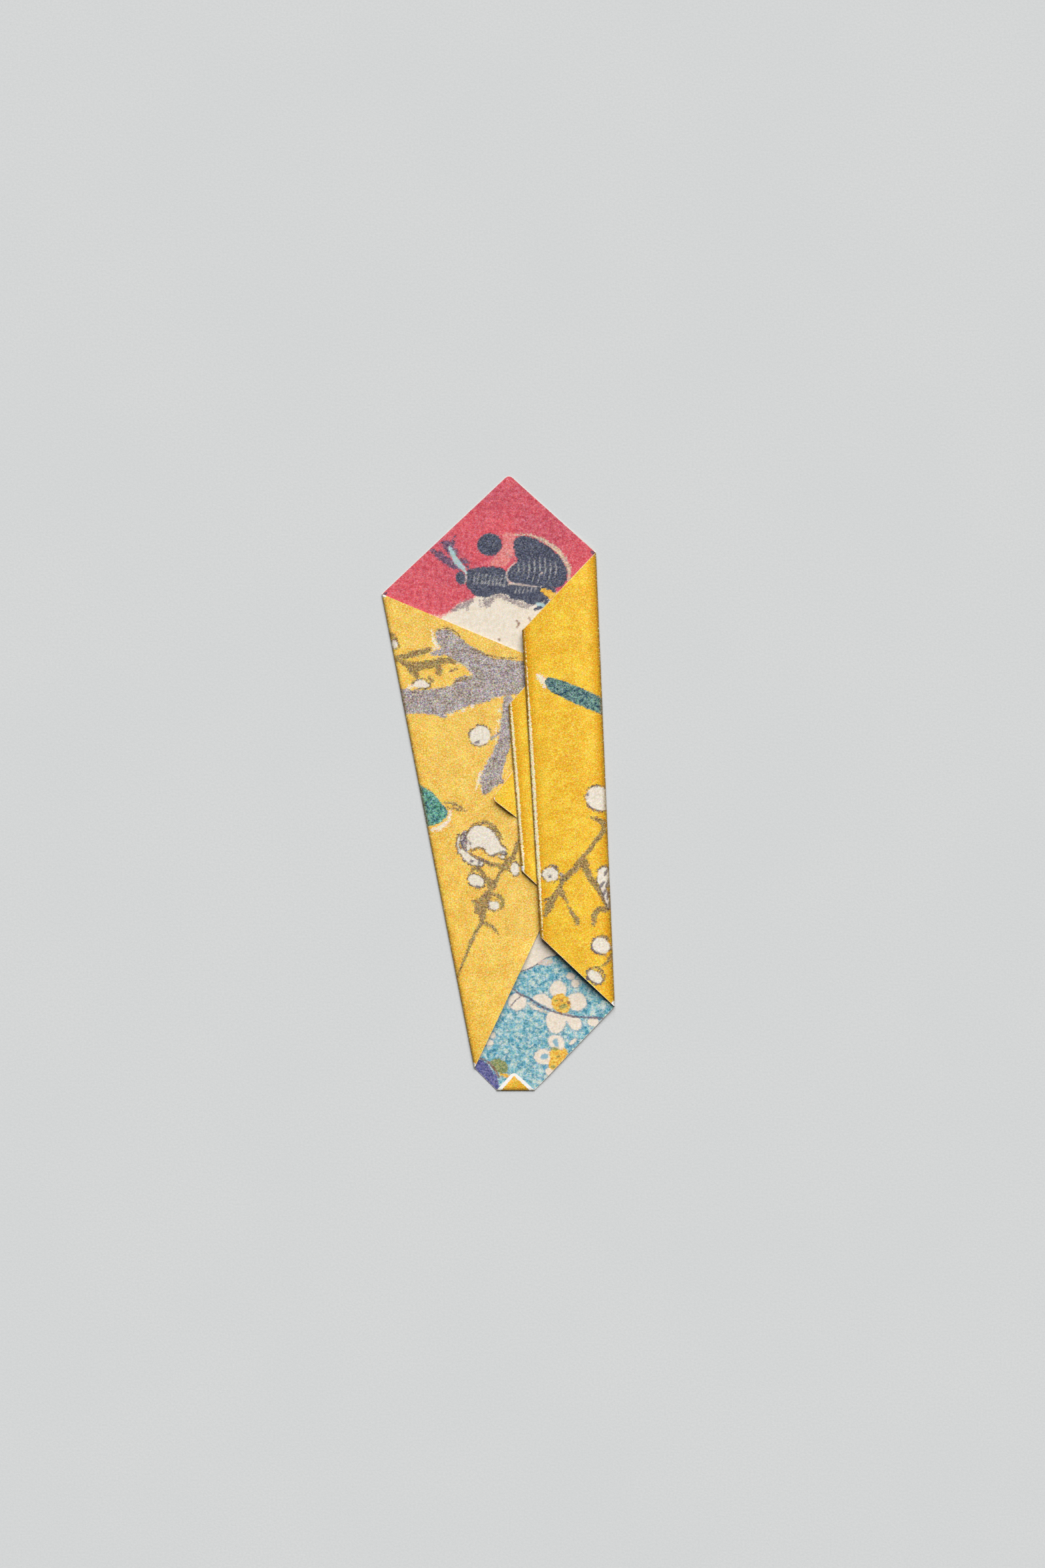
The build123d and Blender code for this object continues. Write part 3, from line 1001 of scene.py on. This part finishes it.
def outside_print():
    """Ochre ground with violet branches, olive twigs, white buds and teal leaves, with painted shade along
    the folds.
    """
    graph = Graph("outside_print")
    fold, side = graph.attribute("fold"), graph.attribute("side")
    left = mottled(graph, (236, 190, 84), (251, 212, 106), 5.0, 0.3, 0.7)
    right = mottled(graph, (237, 181, 34), (252, 210, 62), 5.0, 0.3, 0.7)
    graph.colour = graph.mix(side, left, right)
    orange = graph.ramp(graph.noise(0.9, 4.0, 0.8), 0.46, 0.70)
    graph.stain(orange, 0.30, (224, 160, 58))
    graph.stain(graph.ramp(fold, 4.0, 0.8), side, (224, 162, 2))  # painted shade: deeper, less sheeny yellow along the folds of the sheet's right half, where the rounding turns from the light
    graph.paint("out_halo", (244, 232, 208), 0.9, rough=1.3)
    shaded = mottled(graph, (114, 96, 98), (194, 184, 174), 0.6)
    bright = mottled(graph, (128, 118, 132), (212, 204, 194), 0.6)
    violet = graph.mix(graph.ramp(graph.noise(3.0, 3.0, 0.6), 0.40, 0.60), shaded, bright)
    graph.paint("out_branch", violet, 0.97, rough=1.0)
    bright_teal = mottled(graph, (24, 84, 94), (126, 198, 168), 1.1)
    deep_teal = mottled(graph, (28, 66, 86), (126, 162, 150), 1.1)
    graph.paint("out_teal", graph.mix(side, bright_teal, deep_teal), rough=0.6)
    olive = mottled(graph, (100, 78, 66), (188, 160, 92), 0.6)
    graph.paint("out_twig", olive, 0.92, rough=0.9)
    outline = graph.inked("out_bloom", grow=0.45, rough=1.1)
    unbroken = graph.ramp(graph.noise(2.2), 0.66, 0.48)
    rim = mottled(graph, (76, 66, 74), (152, 124, 84), 0.6)
    graph.stain(outline, unbroken, rim)
    white = mottled(graph, (220, 208, 188), (246, 238, 222), 0.8)
    graph.paint("out_bloom", white, grow=-0.15, rough=0.6)
    graph.paint("out_dot", (104, 92, 100), 0.85)
    frayed = graph.ripple(0.9, 4.0, 0.75)
    # Painted shade: a wider darkening on each side of every fold, where the rounded paper turns from the
    # light.
    fold_shade_band = graph.ramp(graph.math("MULTIPLY_ADD", frayed, 1.2, fold), 1.5, 0.1)
    strength = graph.math("MULTIPLY_ADD", side, 0.22, 0.34)
    graph.stain(fold_shade_band, strength, (122, 92, 22))
    off_line = graph.math("ABSOLUTE", graph.math("SUBTRACT", fold, WEAR_CENTRE))
    worn = graph.math("SUBTRACT", graph.attribute("wear"), off_line)
    worn = graph.ramp(graph.math("MULTIPLY_ADD", frayed, 1.9, worn), -0.04, 0.14)
    graph.stain(worn, 0.9, mottled(graph, (238, 218, 154), (255, 248, 214), 0.5))
    graph.paint("out_bare", (248, 245, 238), edge=0.1, rough=0.25)
    pale = graph.math("MAXIMUM", graph.inked("out_bloom"), graph.inked("out_bare"))
    return printed_paper(graph, graph.math("MULTIPLY_ADD", pale, -0.6, 1.0), 0.74)


def inside_print():
    """Red ground with dark hair above, pale collar, and a blue ground with blossoms below."""
    graph = Graph("inside_print")
    graph.colour = mottled(graph, (230, 216, 194), (242, 231, 214), 1.2)
    dull_red = mottled(graph, (192, 70, 88), (218, 106, 118), 1.4)
    clear_red = mottled(graph, (208, 78, 92), (230, 108, 116), 1.4)
    red = graph.mix(graph.ramp(graph.noise(22.0), 0.38, 0.62), dull_red, clear_red)
    pale_blue = mottled(graph, (116, 182, 196), (212, 222, 210), 1.8, 0.38, 0.62)
    deep_blue = mottled(graph, (18, 108, 140), (98, 176, 192), 0.9)
    deep = graph.math("MULTIPLY", graph.ramp(graph.noise(2.0, 4.0, 0.8), 0.44, 0.60), 0.85)
    blue = graph.mix(deep, pale_blue, deep_blue)
    # The inks in the order of printing: field, pigment, strength, and how its edge looks.
    for field, pigment, strength, how in (
        ("in_red", (232, 150, 146), 0.8, dict(grow=0.7, rough=1.1)),
        ("in_red", red, 1.0, dict(rough=0.9)),
        ("in_blue", blue, 1.0, dict(rough=0.3)),
        ("in_halo", mottled(graph, (166, 150, 148), (242, 222, 184), 0.7), 0.85, dict(rough=1.0)),
        ("in_coral", mottled(graph, (214, 112, 114), (240, 160, 152), 0.8), 0.9, {}),
        ("in_grey", mottled(graph, (106, 94, 108), (198, 182, 172), 0.6), 0.85, dict(rough=1.2)),
        ("in_plum", mottled(graph, (58, 58, 84), (138, 112, 136), 0.8), 0.92, dict(rough=1.2)),
        ("in_purple", mottled(graph, (50, 50, 120), (118, 108, 164), 0.7), 0.92, dict(rough=1.1)),
        ("in_hair", mottled(graph, (50, 54, 74), (100, 104, 120), 0.6), 1.0, dict(rough=0.7)),
        ("in_comb", (192, 190, 186), 0.68, dict(rough=0.4, edge=0.25)),
        ("in_cyan", (176, 208, 208), 0.9, dict(rough=0.6)),
        ("in_petal", (108, 128, 152), 0.45, dict(grow=0.4, rough=1.0)),
        ("in_petal", mottled(graph, (226, 210, 190), (244, 232, 214), 0.8), 1.0, {}),
        ("in_core", (124, 172, 190), 0.9, {}),
        ("in_yellow", mottled(graph, (220, 146, 30), (246, 214, 100), 0.8), 1.0, dict(rough=0.8)),
        ("in_green", mottled(graph, (92, 112, 60), (176, 172, 96), 0.6), 0.9, {}),
        ("in_line", (92, 76, 96), 0.85, dict(rough=0.35, edge=0.2)),
        ("in_brown", (140, 96, 74), 0.85, dict(rough=0.4)),
        ("in_pale", (230, 206, 190), 0.8, dict(rough=0.35)),
    ):
        graph.paint(field, pigment, strength, **how)
    sky = graph.math("SUBTRACT", graph.inked("in_blue"), graph.inked("in_petal"))
    tinted = graph.math("MAXIMUM", graph.inked("in_red"), sky)
    return printed_paper(graph, graph.math("MULTIPLY_ADD", tinted, 0.3, 0.35), 0.78)


def paper_core():
    """The white inside of the sheet, seen at its cut edges."""
    graph = Graph("paper_core")
    graph.colour = mottled(graph, (226, 216, 196), (246, 240, 228), 0.4)
    return graph.surface(0.9)


def table_paper():
    """Pale grey paper with faint clouds and a fine tooth."""
    graph = Graph("table_paper")
    graph.colour = mottled(graph, (209, 211, 211), (216, 217, 217), 0.7)
    clouds = graph.ramp(graph.noise(60, 2.0), 0.3, 0.7)
    graph.stain(clouds, 0.25, (207, 210, 211))
    graph.bump(graph.noise(0.6, 3.0), 0.25, 0.08)
    return graph.surface(0.95, 0.1)


# ---------------------------------------------------------------- pieces and stage

def make_panel(node, prints, core):
    """The paper piece that stands for one CAD plate."""
    mesh = paper_mesh(node)
    carry_fields(mesh, node)
    piece = bpy.data.objects.new(f"{node}_paper", mesh)
    bpy.context.scene.collection.objects.link(piece)
    faces_up = "inside_print" if len(folds_to(node)) % 2 == 0 else "outside_print"
    faces_down = "outside_print" if faces_up == "inside_print" else "inside_print"
    for material in (prints[faces_up], prints[faces_down], core):
        mesh.materials.append(material)
    thicken = piece.modifiers.new("thicken", "SOLIDIFY")
    thicken.thickness = PAPER * MM
    thicken.offset = 0.0
    thicken.material_offset = 1
    thicken.material_offset_rim = 2
    thickened = piece.evaluated_get(bpy.context.evaluated_depsgraph_get())
    closed = bpy.data.meshes.new_from_object(thickened)
    piece.modifiers.clear()
    piece.data = closed
    closed.name = f"{node}_paper"
    closed.shade_smooth()
    closed.set_sharp_from_angle(angle=math.radians(50))
    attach(piece, node)
    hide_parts(node)


def make_stage():
    """Pale paper table, one soft key light from the upper right and even fill light."""
    corners = [(x * TABLE_HALF, y * TABLE_HALF, 0) for x, y in ((-1, -1), (1, -1), (1, 1), (-1, 1))]
    mesh = bpy.data.meshes.new("table")
    mesh.from_pydata(corners, [], [(0, 1, 2, 3)])
    mesh.materials.append(table_paper())
    table = bpy.data.objects.new("table", mesh)
    bpy.context.scene.collection.objects.link(table)
    world = bpy.data.worlds.new("studio")
    world.use_nodes = True
    fill = world.node_tree.nodes["Background"]
    fill.inputs["Color"].default_value = (1.0, 1.0, 1.0, 1.0)
    fill.inputs["Strength"].default_value = FILL_STRENGTH
    bpy.context.scene.world = world
    key = bpy.data.lights.new("key", "SUN")
    key.energy = KEY_STRENGTH
    key.angle = math.radians(KEY_SPREAD)
    lamp = bpy.data.objects.new("key", key)
    lamp.rotation_euler = Vector(KEY_DIRECTION).to_track_quat("-Z", "Y").to_euler()
    bpy.context.scene.collection.objects.link(lamp)


def make_camera():
    """Straight down, as the sleeve is looked at on a table."""
    camera = bpy.data.cameras.new("camera")
    camera.lens = LENS
    camera.sensor_width = 36
    camera.clip_end = 20
    eye = bpy.data.objects.new("camera", camera)
    eye.location = EYE
    bpy.context.scene.collection.objects.link(eye)
    bpy.context.scene.camera = eye


draw_left_flap()
draw_right_flap()
draw_hair()
draw_blossom_sky()
draw_hidden_parts()
draw_bare_paper()
PRINTS = {"outside_print": outside_print(), "inside_print": inside_print()}
CORE = paper_core()
for panel in frame["nodes"]:
    make_panel(panel, PRINTS, CORE)
make_stage()
make_camera()
bpy.context.scene.view_settings.view_transform = "Standard"
